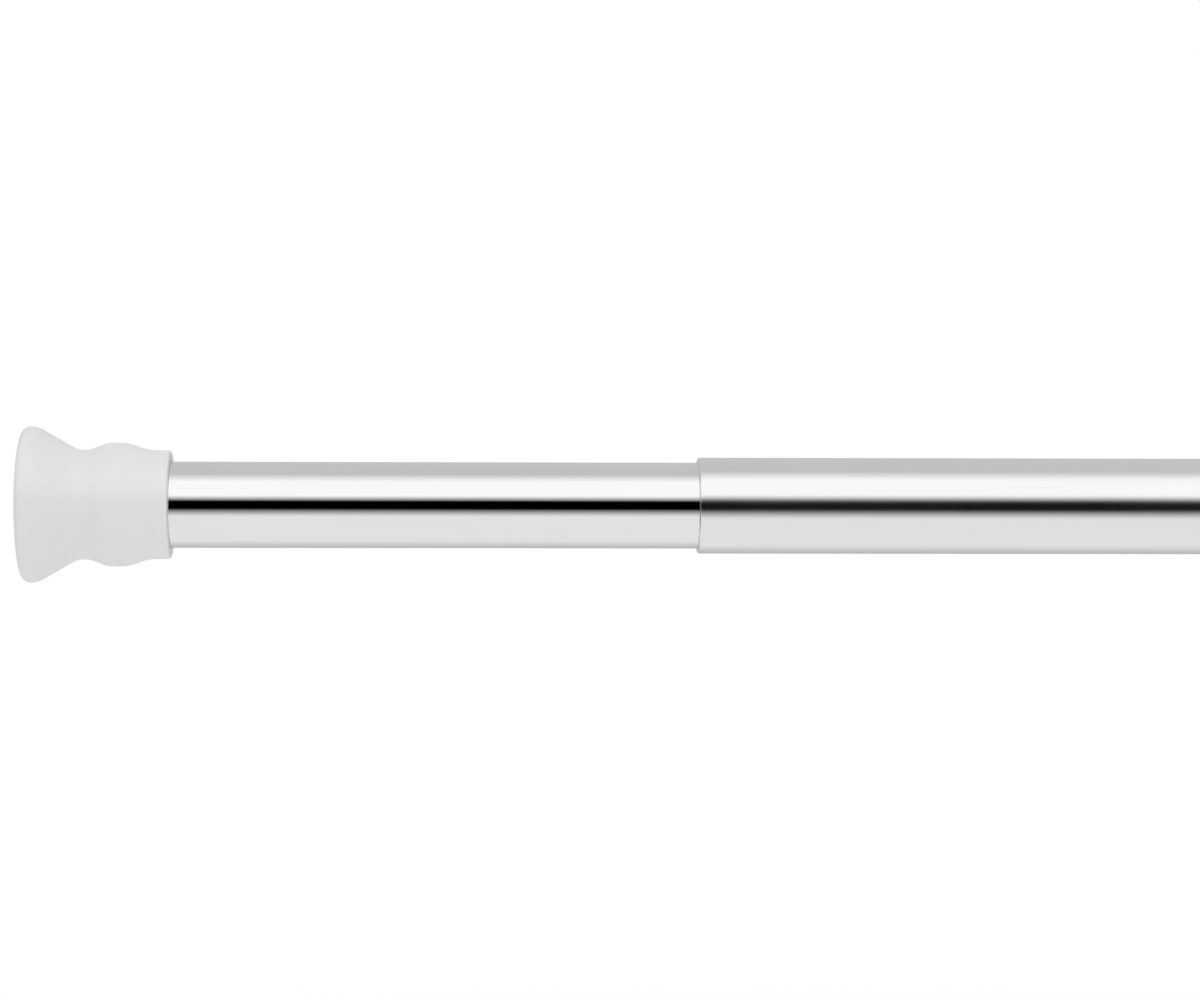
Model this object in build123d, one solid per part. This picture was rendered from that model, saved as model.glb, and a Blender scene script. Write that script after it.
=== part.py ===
"""Telescopic tension rod: a chromed tube that slides in a wider one, with a spring and a twist lock
inside and a flared rubber foot at each end.

The origin is the centre of the left foot's contact face. +X runs along the rod to the right foot and
+Z is up. All sizes are in millimetres, and the rod is drawn at its stored length, locked, with its
spring at rest on its stop.
"""

from build123d import *
import os
from math import atan2, cos, pi, sin, tan

# ---- tubes ----
INNER_DIAMETER = 25.0
TUBE_WALL = 0.7
TUBE_GAP = 0.8  # radial space between the two tubes
INNER_LENGTH = 500.0
OUTER_LENGTH = 540.0
STORED_LENGTH = 750.0  # contact face to contact face

# ---- fits ----
FIXED_FIT = 0.04  # radial gap of a piece that is pressed or pinned in place
SLIDE_FIT = 0.1  # radial gap of the tubes' guides
RUNNING_FIT = 0.05  # radial gap of a shaft in its hole, and of a nut on a moving thread
FACE_GAP = 0.1  # axial gap between faces that turn or slide against each other
CUT_MARGIN = 1.0  # how far a cut runs past the surface that it leaves

# ---- feet ----
FOOT_FLOOR = 12.5  # rubber between the contact face and the end plug
FLARE_WALL = 8.6  # this and the next three are beyond the wider tube's radius
WAIST_WALL = 1.85
CREST_WALL = 3.9
COLLAR_WALL = 1.75
LIP_RADIUS = 2.5
LIP_TO_WAIST = 15.4
WAIST_TO_CREST = 8.4
CREST_WIDTH = 2.0
CREST_TO_COLLAR = 10.5
COLLAR_LENGTH = 4.1
COLLAR_EDGE_RADIUS = 0.8
FLARE_STEEPNESS = 1.26  # slope angle of the flare, as a multiple of its chord's
WAVE_STEEPNESS = 1.62
GRIP_GROOVES = 3
GRIP_GROOVE_WIDTH = 3.0
GRIP_RIB_WIDTH = 1.6
GRIP_GROOVE_DEPTH = 1.0
GRIP_BOSS_RADIUS = 2.5

# ---- end plugs ----
PLUG_FLANGE = 2.0
PLUG_DEPTH = 16.0
PLUG_WALL = 1.8
PLUG_RIB = 1.4

# ---- mouth of the outer tube ----
MOUTH_BEND = 0.1  # inside radius where the wall is pressed in
LINER_LENGTH = 20.0

# ---- bush in the inner tube's inner end ----
BUSH_DEPTH = 20.0
BUSH_FLANGE = 3.0
RIVET_RADIUS = 1.5
RIVET_LENGTH = 4.4
RIVET_SETBACK = 10.0  # from the tube's end
RIVET_TURNS = (90, -90)  # degrees about the rod, from the top

# ---- spindle ----
HEX_ACROSS_FLATS = 9.0
SPRING_STROKE = 25.0
STROKE_MARGIN = 3.0  # left between bush and collar washer at full stroke
JOURNAL_STEP = 0.5  # under the hexagon's flats; the journal carries the lock thread too
STUB_STEP = 1.5  # under the hexagon's flats
STUB_TAIL = 2.0  # beyond its nut
TIP_TAIL = 1.0  # beyond the end nut
SPINDLE_CHAMFER = 0.6
THREAD_PITCH = 1.25
LOCK_TURNS = 2.0

# ---- spring ----
SPRING_LENGTH = 92.0  # as fitted
SPRING_WALL_GAP = 1.7  # to the tube's wall
WIRE_RADIUS = 1.1
SPRING_TURNS = 13.0
SPRING_END_GAP = 0.05

# ---- spring stop ----
STOP_LENGTH = 12.5
STOP_NOSE = 4.0
STOP_NOSE_GAP = 0.25  # inside the spring
STOP_BORE = 4.0
STOP_PIN_RADIUS = 1.5

# ---- washers and nuts ----
WASHER_THICKNESS = 2.0
WASHER_EDGE_GAP = 0.5  # to the tube's wall
SEAT_THICKNESS = 1.5
SPINDLE_NUT_FLATS = 10.0
SPINDLE_NUT_HEIGHT = 6.0
COLLAR_WASHER_RING = 4.0
COLLAR_WASHER_THICKNESS = 1.0
END_NUT_FLATS = 13.0
END_NUT_HEIGHT = 4.0
END_NUT_ROOM = 0.5  # left by the fully loosened cone nut

# ---- expander and cone ----
HUB_THICKNESS = 5.0
PETAL_LENGTH = 17.0
PETAL_MOUTH_WALL = 2.25
PETAL_ROOT_WALL = 4.25
PETAL_TAPER_LENGTH = 12.0
PETAL_SLOTS = 4
SLOT_WIDTH = 2.5
SLOT_START = 3.0  # from the hub's inner face
KEY_CLEARANCE = 0.1
KEY_SETBACK = 0.8  # of the cone's keys inside the collar's outside
CONE_LENGTH = 11.0
CONE_HEAD = 2.0  # stands out of the collar's mouth
CONE_FIT = 0.08
CLIP_THICKNESS = 0.7
CLIP_OVERHANG = 2.0
CLIP_GROOVE_DEPTH = 0.8
CLIP_GROOVE_PLAY = 0.04
CLIP_HOLD = 0.9  # how far each tip reaches past the groove's side

# ---- worked out from the sizes above ----
inner_radius = INNER_DIAMETER / 2
inner_bore = inner_radius - TUBE_WALL
outer_bore = inner_radius + TUBE_GAP
outer_radius = outer_bore + TUBE_WALL

foot_length = LIP_RADIUS + LIP_TO_WAIST + WAIST_TO_CREST + CREST_WIDTH + CREST_TO_COLLAR + COLLAR_LENGTH
inner_start = FOOT_FLOOR + PLUG_FLANGE
inner_end = inner_start + INNER_LENGTH
outer_end = STORED_LENGTH - FOOT_FLOOR - PLUG_FLANGE
outer_start = outer_end - OUTER_LENGTH

lip_radius = inner_radius + SLIDE_FIT  # the pressed-in mouth, and the liner behind it
shoulder = MOUTH_BEND + TUBE_WALL  # outside radius of the mouth's bend

bush_start = inner_end - BUSH_DEPTH
bush_end = inner_end + BUSH_FLANGE
rivet_at = inner_end - RIVET_SETBACK

thrust_end = bush_start - FACE_GAP
thrust_start = thrust_end - WASHER_THICKNESS
spindle_nut_start = thrust_start - SPINDLE_NUT_HEIGHT
spindle_start = spindle_nut_start - STUB_TAIL

spring_end = thrust_start
spring_start = spring_end - SPRING_LENGTH
seat_start = spring_start - SEAT_THICKNESS
stop_start = seat_start - STOP_LENGTH
stop_pin_at = seat_start - STOP_LENGTH / 2
spring_mean_radius = inner_bore - SPRING_WALL_GAP - WIRE_RADIUS
nose_radius = spring_mean_radius - WIRE_RADIUS - STOP_NOSE_GAP

journal_radius = HEX_ACROSS_FLATS / 2 - JOURNAL_STEP
stub_radius = HEX_ACROSS_FLATS / 2 - STUB_STEP
groove_radius = journal_radius - CLIP_GROOVE_DEPTH
hex_end = bush_end + SPRING_STROKE + STROKE_MARGIN
collar_washer_end = hex_end + COLLAR_WASHER_THICKNESS
hub_start = collar_washer_end + FACE_GAP
hub_end = hub_start + HUB_THICKNESS
clip_start = hub_end + FACE_GAP
collar_radius = outer_bore - RUNNING_FIT
petal_end = hub_end + PETAL_LENGTH
taper_start = petal_end - PETAL_TAPER_LENGTH
petal_root_bore = collar_radius - PETAL_ROOT_WALL
petal_mouth_bore = collar_radius - PETAL_MOUTH_WALL
taper_slope = (petal_mouth_bore - petal_root_bore) / PETAL_TAPER_LENGTH
cone_end = petal_end + CONE_HEAD
cone_start = cone_end - CONE_LENGTH
lock_travel = LOCK_TURNS * THREAD_PITCH
end_nut_start = cone_end + lock_travel + END_NUT_ROOM
end_nut_end = end_nut_start + END_NUT_HEIGHT
spindle_end = end_nut_end + TIP_TAIL


# ---- helpers ----
def along_x(x, plane=Plane.YZ):
    """The plane across the rod at x, looking along +X."""
    return plane.offset(x)


def rod(radius, start, end):
    """A round bar about the X axis from start to end."""
    return extrude(along_x(start) * Circle(radius), end - start)


def ring(outside, inside, start, end):
    """A round sleeve about the X axis from start to end."""
    return extrude(along_x(start) * (Circle(outside) - Circle(inside)), end - start)


def hexagon(across_flats, start, end):
    """A hexagonal bar about the X axis, with two flats level."""
    outline = RegularPolygon(across_flats / 2, 6, major_radius=False)
    return extrude(along_x(start) * outline, end - start)


def cross_hole(radius, x, start, end, turn=0):
    """A round bar at x from radius start to radius end, pointing up, then turned about the rod."""
    bar = extrude(Plane.XY.offset(start) * Pos(x, 0) * Circle(radius), end - start)
    return bar.rotate(Axis.X, turn)


def s_bend(start, end, steepness):
    """Edges from start to end, level at both, made of two equal arcs and a straight between them.

    steepness is the straight's angle as a multiple of the chord's, between 1 and 2.
    """
    run, rise = end[0] - start[0], end[1] - start[1]
    slope = steepness * atan2(abs(rise), run)
    radius = (tan(slope) * run - abs(rise)) / (2 * (1 / cos(slope) - 1))
    up = 1 if rise > 0 else -1
    along, across = radius * sin(slope), up * radius * (1 - cos(slope))
    first = (start[0] + along, start[1] + across)
    second = (end[0] - along, end[1] - across)
    return [
        TangentArc(start, first, tangent=(1, 0)),
        Line(first, second),
        TangentArc(end, second, tangent=(-1, 0)),
    ]


# ---- feet ----
def foot_body():
    """The foot's outside, filled, with its contact face at x = 0 and its collar towards +X."""
    lip = (LIP_RADIUS, outer_radius + FLARE_WALL)
    face_edge = (0, lip[1] - LIP_RADIUS)
    waist = (lip[0] + LIP_TO_WAIST, outer_radius + WAIST_WALL)
    crest_start = (waist[0] + WAIST_TO_CREST, outer_radius + CREST_WALL)
    crest_end = (crest_start[0] + CREST_WIDTH, crest_start[1])
    collar = (crest_end[0] + CREST_TO_COLLAR, outer_radius + COLLAR_WALL)
    collar_end = (foot_length - COLLAR_EDGE_RADIUS, collar[1])
    rim = (foot_length, collar[1] - COLLAR_EDGE_RADIUS)
    edges = [
        Line((0, 0), face_edge),
        TangentArc(face_edge, lip, tangent=(0, 1)),
        *s_bend(lip, waist, FLARE_STEEPNESS),
        *s_bend(waist, crest_start, WAVE_STEEPNESS),
        Line(crest_start, crest_end),
        *s_bend(crest_end, collar, WAVE_STEEPNESS),
        Line(collar, collar_end),
        TangentArc(collar_end, rim, tangent=(1, 0)),
        Line(rim, (foot_length, 0)),
        Line((foot_length, 0), (0, 0)),
    ]
    return revolve(make_face(edges), Axis.X)


def foot(tube_radius):
    """A foot for a tube of this radius: the common outside, its bore and the face's grip grooves."""
    body = foot_body() - rod(tube_radius + FIXED_FIT, FOOT_FLOOR, foot_length)
    inside = GRIP_BOSS_RADIUS
    for _ in range(GRIP_GROOVES):
        body -= ring(inside + GRIP_GROOVE_WIDTH, inside, 0, GRIP_GROOVE_DEPTH)
        inside += GRIP_GROOVE_WIDTH + GRIP_RIB_WIDTH
    return body


def from_right(piece):
    """The same piece at the rod's other end, facing the other way."""
    return Pos(STORED_LENGTH, 0, 0) * piece.rotate(Axis.Z, 180)


# ---- end plugs ----
def end_plug(tube_radius):
    """A flanged cup with a cross of ribs, placed for the left end."""
    barrel_radius = tube_radius - TUBE_WALL - FIXED_FIT
    barrel_end = inner_start + PLUG_DEPTH
    plug = rod(tube_radius, FOOT_FLOOR, inner_start)
    plug += ring(barrel_radius, barrel_radius - PLUG_WALL, inner_start, barrel_end)
    rib_height = 2 * barrel_radius - PLUG_WALL
    upright = Rectangle(PLUG_RIB, rib_height)
    level = Rectangle(rib_height, PLUG_RIB)
    plug += extrude(along_x(inner_start) * (upright + level), PLUG_DEPTH)
    return plug


# ---- tubes ----
def inner_tube():
    tube = ring(inner_radius, inner_bore, inner_start, inner_end)
    outside = inner_radius + CUT_MARGIN
    tube -= cross_hole(STOP_PIN_RADIUS, stop_pin_at, -outside, outside)
    for turn in RIVET_TURNS:
        tube -= cross_hole(RIVET_RADIUS, rivet_at, 0, outside, turn)
    return tube


def outer_tube():
    """The outer tube, its mouth pressed in to the inner tube's guide radius."""
    bend_x = outer_start + shoulder
    edges = [
        Line((outer_start, lip_radius), (outer_start, outer_radius - shoulder)),
        TangentArc((outer_start, outer_radius - shoulder), (bend_x, outer_radius), tangent=(0, 1)),
        Line((bend_x, outer_radius), (outer_end, outer_radius)),
        Line((outer_end, outer_radius), (outer_end, outer_bore)),
        Line((outer_end, outer_bore), (bend_x, outer_bore)),
        TangentArc((bend_x, outer_bore), (bend_x - MOUTH_BEND, outer_radius - shoulder), tangent=(-1, 0)),
        Line((bend_x - MOUTH_BEND, outer_radius - shoulder), (bend_x - MOUTH_BEND, lip_radius)),
        Line((bend_x - MOUTH_BEND, lip_radius), (outer_start, lip_radius)),
    ]
    return revolve(make_face(edges), Axis.X)


def mouth_liner():
    start = outer_start + shoulder + FACE_GAP
    return ring(outer_bore - FIXED_FIT, lip_radius, start, start + LINER_LENGTH)


# ---- spring stop and spring ----
def spring_stop():
    stop = rod(inner_bore - FIXED_FIT, stop_start, seat_start)
    stop += rod(nose_radius, seat_start, spring_start + STOP_NOSE)
    stop -= rod(STOP_BORE, seat_start, spring_start + STOP_NOSE)
    return stop - cross_hole(STOP_PIN_RADIUS, stop_pin_at, -inner_radius, inner_radius)


def stop_pin():
    reach = inner_radius - SLIDE_FIT
    return cross_hole(STOP_PIN_RADIUS - FIXED_FIT, stop_pin_at, -reach, reach)


def seat_washer():
    return ring(inner_bore - WASHER_EDGE_GAP, nose_radius + FIXED_FIT, seat_start, spring_start)


def compression_spring():
    start = spring_start + WIRE_RADIUS + SPRING_END_GAP
    length = SPRING_LENGTH - 2 * (WIRE_RADIUS + SPRING_END_GAP)
    line = Helix(length / SPRING_TURNS, length, spring_mean_radius)
    section = Plane(line @ 0, z_dir=line % 0) * Circle(WIRE_RADIUS)
    coil = sweep(section, path=line, is_frenet=True)
    return Pos(start, 0, 0) * coil.rotate(Axis.Y, 90)


# ---- bush ----
def inner_tube_bush():
    bush = rod(inner_bore - FIXED_FIT, bush_start, inner_end)
    bush += rod(outer_bore - SLIDE_FIT, inner_end, bush_end)
    bush -= hexagon(HEX_ACROSS_FLATS + 2 * RUNNING_FIT, bush_start, bush_end)
    for turn in RIVET_TURNS:
        bush -= cross_hole(RIVET_RADIUS, rivet_at, inner_radius - RIVET_LENGTH, inner_radius, turn)
    return bush


def bush_rivets():
    outside = inner_radius - SLIDE_FIT
    inside = inner_radius - RIVET_LENGTH
    return [
        cross_hole(RIVET_RADIUS - FIXED_FIT, rivet_at, inside, outside, turn)
        for turn in RIVET_TURNS
    ]


# ---- spindle and what is fixed to it ----
def spindle():
    bar = rod(stub_radius, spindle_start, thrust_end)
    bar += hexagon(HEX_ACROSS_FLATS, thrust_end, hex_end)
    bar += rod(journal_radius, hex_end, spindle_end)
    tips = bar.faces().sort_by(Axis.X)
    bar = chamfer(tips[0].edges() + tips[-1].edges(), SPINDLE_CHAMFER)
    groove_start = clip_start - CLIP_GROOVE_PLAY
    groove_end = clip_start + CLIP_THICKNESS + CLIP_GROOVE_PLAY
    return bar - ring(journal_radius + CUT_MARGIN, groove_radius, groove_start, groove_end)


def thrust_washer():
    return ring(inner_bore - WASHER_EDGE_GAP, stub_radius + FIXED_FIT, thrust_start, thrust_end)


def hex_nut(across_flats, hole_radius, start, end):
    """A nut whose corners are taken off by a cone of 30 degrees at both faces."""
    face = across_flats / 2
    corner = face / cos(pi / 6)
    drop = (corner - face) * tan(pi / 6)
    outline = Polyline(
        (start, hole_radius),
        (start, face),
        (start + drop, corner),
        (end - drop, corner),
        (end, face),
        (end, hole_radius),
        close=True,
    )
    return hexagon(across_flats, start, end) & revolve(make_face(outline), Axis.X)


def spindle_nut():
    return hex_nut(SPINDLE_NUT_FLATS, stub_radius + FIXED_FIT, spindle_nut_start, thrust_start)


def end_nut():
    return hex_nut(END_NUT_FLATS, journal_radius + FIXED_FIT, end_nut_start, end_nut_end)


def collar_washer():
    outside = journal_radius + COLLAR_WASHER_RING
    return ring(outside, journal_radius + FIXED_FIT, hex_end, collar_washer_end)


def retaining_clip():
    outside = journal_radius + CLIP_OVERHANG
    clip = ring(outside, groove_radius + FIXED_FIT, clip_start, clip_start + CLIP_THICKNESS)
    mouth = Pos(0, outside / 2) * Rectangle(2 * (groove_radius - CLIP_HOLD), outside)
    return clip - extrude(along_x(clip_start) * mouth, CLIP_THICKNESS)


# ---- expander and cone ----
def slot_angles():
    return [turn * 360 / PETAL_SLOTS for turn in range(PETAL_SLOTS)]


def expander_collar():
    outline = Polyline(
        (hub_start, journal_radius + RUNNING_FIT),
        (hub_start, collar_radius),
        (petal_end, collar_radius),
        (petal_end, petal_mouth_bore),
        (taper_start, petal_root_bore),
        (hub_end, petal_root_bore),
        (hub_end, journal_radius + RUNNING_FIT),
        close=True,
    )
    collar = revolve(make_face(outline), Axis.X)
    slot_from = hub_end + SLOT_START
    slot = extrude(
        along_x(slot_from) * Pos(0, collar_radius) * Rectangle(SLOT_WIDTH, 2 * collar_radius),
        petal_end - slot_from,
    )
    for angle in slot_angles():
        collar -= slot.rotate(Axis.X, angle)
    return collar


def cone_nut():
    """The cone lies against the collar's taper, and its keys fill the collar's slots."""
    start_radius = petal_root_bore + taper_slope * (cone_start - taper_start) - CONE_FIT
    mouth_radius = petal_mouth_bore - CONE_FIT
    outline = Polyline(
        (cone_start, journal_radius + RUNNING_FIT),
        (cone_start, start_radius),
        (petal_end, mouth_radius),
        (cone_end, mouth_radius),
        (cone_end, journal_radius + RUNNING_FIT),
        close=True,
    )
    cone = revolve(make_face(outline), Axis.X)
    key_reach = collar_radius - KEY_SETBACK
    key_width = SLOT_WIDTH - 2 * KEY_CLEARANCE
    key_middle = (journal_radius + start_radius) / 2
    outline = Pos(0, (key_middle + key_reach) / 2) * Rectangle(key_width, key_reach - key_middle)
    key = extrude(along_x(cone_start) * outline, petal_end - cone_start)
    for angle in slot_angles():
        cone += key.rotate(Axis.X, angle)
    return cone


PIECES = {
    "left_foot": foot(inner_radius),
    "left_end_plug": end_plug(inner_radius),
    "inner_tube": inner_tube(),
    "spring_stop": spring_stop(),
    "stop_pin": stop_pin(),
    "seat_washer": seat_washer(),
    "compression_spring": compression_spring(),
    "inner_tube_bush": inner_tube_bush(),
    "bush_rivets": bush_rivets(),
    "spindle": spindle(),
    "thrust_washer": thrust_washer(),
    "spindle_nut": spindle_nut(),
    "collar_washer": collar_washer(),
    "retaining_clip": retaining_clip(),
    "end_nut": end_nut(),
    "expander_collar": expander_collar(),
    "cone_nut": cone_nut(),
    "outer_tube": outer_tube(),
    "mouth_liner": mouth_liner(),
    "right_end_plug": from_right(end_plug(outer_radius)),
    "right_foot": from_right(foot(outer_radius)),
}

os.makedirs("parts", exist_ok=True)
for name, piece in PIECES.items():
    shape = Compound(piece) if isinstance(piece, list) else piece
    export_step(shape, f"parts/{name}.step")
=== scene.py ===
"""A chromed telescopic tension rod with flared rubber feet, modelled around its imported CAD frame.

Sizes in the functions are in millimetres, and surface() turns them to metres. +X runs along the rod
from the left foot's contact face, +Z is up, and turns about the rod start at +Y and pass +Z.
"""

from math import cos, pi, radians, tan

import bpy
import numpy as np
from bpy.props import (
    FloatProperty,
    FloatVectorProperty,
    IntProperty,
    PointerProperty,
)
from bpy.types import Operator, Panel, PropertyGroup
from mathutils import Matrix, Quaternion, Vector


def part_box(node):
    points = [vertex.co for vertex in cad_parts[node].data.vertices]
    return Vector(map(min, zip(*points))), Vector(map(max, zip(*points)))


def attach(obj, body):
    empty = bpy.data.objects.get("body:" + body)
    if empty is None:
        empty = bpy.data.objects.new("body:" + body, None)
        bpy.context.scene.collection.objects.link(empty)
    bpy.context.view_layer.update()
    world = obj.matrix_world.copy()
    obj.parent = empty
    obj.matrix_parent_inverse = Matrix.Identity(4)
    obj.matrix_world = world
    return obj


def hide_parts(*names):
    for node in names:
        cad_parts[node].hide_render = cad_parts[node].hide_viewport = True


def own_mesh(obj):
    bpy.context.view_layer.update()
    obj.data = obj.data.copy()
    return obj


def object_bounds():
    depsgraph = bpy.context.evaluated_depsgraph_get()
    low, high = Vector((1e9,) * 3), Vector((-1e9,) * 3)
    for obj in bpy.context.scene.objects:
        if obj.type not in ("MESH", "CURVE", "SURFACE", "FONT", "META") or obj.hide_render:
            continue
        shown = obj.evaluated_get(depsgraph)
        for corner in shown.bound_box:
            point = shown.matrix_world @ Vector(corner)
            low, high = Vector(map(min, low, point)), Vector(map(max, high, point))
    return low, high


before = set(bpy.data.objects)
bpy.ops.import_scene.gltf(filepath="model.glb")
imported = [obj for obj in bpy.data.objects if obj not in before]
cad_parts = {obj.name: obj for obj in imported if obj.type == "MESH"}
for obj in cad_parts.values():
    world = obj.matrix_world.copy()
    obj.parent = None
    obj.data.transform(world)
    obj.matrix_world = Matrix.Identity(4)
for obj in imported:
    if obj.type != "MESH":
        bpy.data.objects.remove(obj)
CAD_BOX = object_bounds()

bl_info = {
    "name": "Telescopic tension rod",
    "version": (1, 0, 0),
    "blender": (4, 5, 0),
    "location": "View3D > Sidebar > Tension rod",
    "description": "Builds a chromed tension rod with rubber feet and a twist lock",
    "category": "Add Mesh",
}

MM = 0.001
SHARP_ANGLE = 38  # degrees between faces, past which an edge is drawn sharp


def linear(code):
    """The linear red, green and blue of an sRGB colour such as "E6E6E4"."""
    channels = np.array([int(code[k : k + 2], 16) / 255 for k in (0, 2, 4)])
    low, high = channels / 12.92, ((channels + 0.055) / 1.055) ** 2.4
    return tuple(float(c) for c in np.where(channels <= 0.04045, low, high))


def reach(node):
    """Where a CAD node starts and ends along the rod, and its outer radius, in millimetres."""
    low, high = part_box(node)
    return low.x / MM, high.x / MM, high.z / MM


# ---------------------------------------------------------------- settings
def colour(name, description, code):
    return FloatVectorProperty(
        name=name,
        description=description,
        subtype="COLOR",
        size=3,
        min=0.0,
        max=1.0,
        default=linear(code),
    )


def roughness(name, description, value):
    return FloatProperty(
        name=name, description=description, subtype="FACTOR", min=0.0, max=1.0, default=value
    )


def length(name, description, millimetres):
    return FloatProperty(
        name=name, description=description, unit="LENGTH", precision=5, default=millimetres * MM
    )


class RodShape(PropertyGroup):
    """Sizes of the modelled detail. The rod's own sizes come from the CAD frame."""

    around: IntProperty(
        name="Columns around",
        description="Steps around each turned surface, in blocks of sixteen",
        min=64,
        max=512,
        step=16,
        default=256,
    )
    lip_bead: length("Parting bead", "Height of the mould's parting line on the flare", 0.07)
    groove_flank: length("Groove flank", "Width of the rounded side of a grip groove", 0.55)
    edge_round: length("Tube edge", "Rounding of a cut tube's edges", 0.12)
    bore_round: length("Collar edge", "Rounding of the collar's inner edge", 0.35)
    closed_turns: FloatProperty(
        name="Closed turns",
        description="Turns of the spring wound close at each end",
        min=0.5,
        max=2.0,
        default=1.0,
    )
    thread_depth: length("Thread depth", "Depth of the spindle's screw threads", 0.6)


class RodFinish(PropertyGroup):
    """Colours and roughness of the rod's materials."""

    chrome: colour("Chrome", "Chromium plating", "E2E2E2")
    chrome_inner: roughness("Inner tube roughness", "Polish of the inner tube", 0.06)
    chrome_outer: roughness("Outer tube roughness", "Polish of the outer tube", 0.16)
    rubber: colour("Rubber", "Light moulded rubber of the feet", "EAEAEA")
    rubber_roughness: roughness("Rubber roughness", "Satin moulded rubber", 0.36)
    polyethylene: colour("Polyethylene", "Natural plastic of plugs and stop", "D8D6CE")
    acetal: colour("Acetal", "Plastic of bush, liner and expander", "C9CBC9")
    brass: colour("Brass", "Turned brass of the cone nut", "D9B56B")
    zinc: colour("Zinc", "Zinc plating of spindle, nuts, washers and pins", "B9BCC2")
    spring_steel: colour("Spring steel", "Oiled spring wire", "8C8A88")


class RodStudio(PropertyGroup):
    """The light, floor and camera around the rod."""

    tent: FloatProperty(
        name="Tent light", description="Strength of the light tent", min=0.0, default=1.0
    )
    key_power: FloatProperty(
        name="Front light",
        description="Power of the soft light in front of the rod",
        unit="POWER",
        min=0.0,
        default=2.3,
    )
    floor_drop: length("Floor drop", "Height of the rod's axis above the floor", 400.0)
    floor: colour("Floor", "Pale studio floor", "F2F2F2")
    camera_along: length("Camera along", "Camera's place along the rod", 133.7)
    camera_away: length("Camera away", "Camera's distance in front of the rod", 1039.6)
    aim_along: length("Aim along", "Where along the rod the camera aims", 167.22)
    aim_up: length("Aim up", "Height that the camera aims at", 1.6)
    camera_roll: FloatProperty(
        name="Camera roll",
        description="Turn of the camera about its own axis",
        subtype="ANGLE",
        default=radians(0.1),
    )
    lens: FloatProperty(
        name="Lens", description="Focal length in millimetres", min=20.0, default=107.25
    )


# ---------------------------------------------------------------- surfaces
def put_mesh(name, points, faces):
    """A smooth object from points in metres and arrays of faces with three or four corners each."""
    used, corners = np.unique(np.concatenate([f.ravel() for f in faces]), return_inverse=True)
    sizes = np.concatenate([np.full(len(f), f.shape[1]) for f in faces])
    mesh = bpy.data.meshes.new(name)
    mesh.vertices.add(len(used))
    mesh.vertices.foreach_set("co", points[used].astype(np.float32).ravel())
    mesh.loops.add(len(corners))
    mesh.loops.foreach_set("vertex_index", corners.astype(np.int32).ravel())
    mesh.polygons.add(len(sizes))
    mesh.polygons.foreach_set("loop_start", np.cumsum(sizes, dtype=np.int32) - sizes)
    mesh.update(calc_edges=True)
    if mesh.validate():
        raise RuntimeError(f"{name} has faces that Blender had to repair")
    mesh.shade_smooth()
    mesh.set_sharp_from_angle(angle=radians(SHARP_ANGLE))
    made = bpy.data.objects.new(name, mesh)
    bpy.context.scene.collection.objects.link(made)
    return made, used


def grid_faces(index, closed):
    """Quads of a grid of point numbers: columns close round, rows too if closed. A row of one
    repeated number is a pole, and its quads become triangles."""
    across = np.roll(index, -1, axis=1)
    if closed:
        parts = (index, across, np.roll(across, -1, axis=0), np.roll(index, -1, axis=0))
    else:
        parts = (index[:-1], across[:-1], across[1:], index[1:])
    quads = np.stack(parts, axis=-1).reshape(-1, 4)
    first, last = quads[:, 0] == quads[:, 1], quads[:, 2] == quads[:, 3]
    return [quads[~first & ~last], quads[first][:, [0, 2, 3]], quads[last & ~first][:, :3]]


def surface(name, points, closed=False):
    """A mesh from a grid of points (rows, columns, 3) in millimetres. Where the first or last row
    has shrunk to one point it becomes a pole."""
    index = np.arange(points.shape[0] * points.shape[1]).reshape(points.shape[:2])
    if not closed:
        for row in (0, -1):
            if np.ptp(points[row], axis=0).max() < 1e-9:
                index[row] = index[row, 0]
    return put_mesh(name, points.reshape(-1, 3) * MM, grid_faces(index, closed))


def turned(outline, columns):
    """Carries an outline of (x, radius) round the rod: y = radius cos t and z = radius sin t, for t
    from 0 to a full turn. Outlines run towards +X on the outside, so that faces point outwards."""
    turn = np.arange(columns) * 2 * pi / columns
    x, radius = outline[:, :1], outline[:, 1:]
    return np.stack((x + 0 * turn, radius * np.cos(turn), radius * np.sin(turn)), axis=-1)


def arc(centre, radius, start, end, count=12):
    """Points of (x, radius) on a circle, from start to end degrees, where 0 points along +X."""
    angle = np.radians(np.linspace(start, end, count))
    return np.stack((centre[0] + radius * np.cos(angle), centre[1] + radius * np.sin(angle)), -1)


def s_bend(start, end, steepness, count=16):
    """A line from start to end, level at both, made of two equal arcs with a straight between them.
    The straight's angle is steepness times the chord's, and the arcs' radius follows from it."""
    run, rise = end[0] - start[0], end[1] - start[1]
    slope = steepness * np.arctan2(abs(rise), run)
    radius = (tan(slope) * run - abs(rise)) / (2 * (1 / cos(slope) - 1))
    angle = np.linspace(0, slope, count)
    arm = np.stack((radius * np.sin(angle), np.sign(rise) * radius * (1 - np.cos(angle))), -1)
    return np.concatenate((np.array(start) + arm, (np.array(end) - arm)[::-1]))


def spaced(outline, step):
    """The same outline with extra points, so that none are further apart than step."""
    ends = [outline[:1]]
    for a, b in zip(outline[:-1], outline[1:]):
        parts = max(1, int(np.ceil(np.linalg.norm(b - a) / step)))
        ends.append(a + (b - a) * np.linspace(0, 1, parts + 1)[1:, None])
    return np.concatenate(ends)


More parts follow.
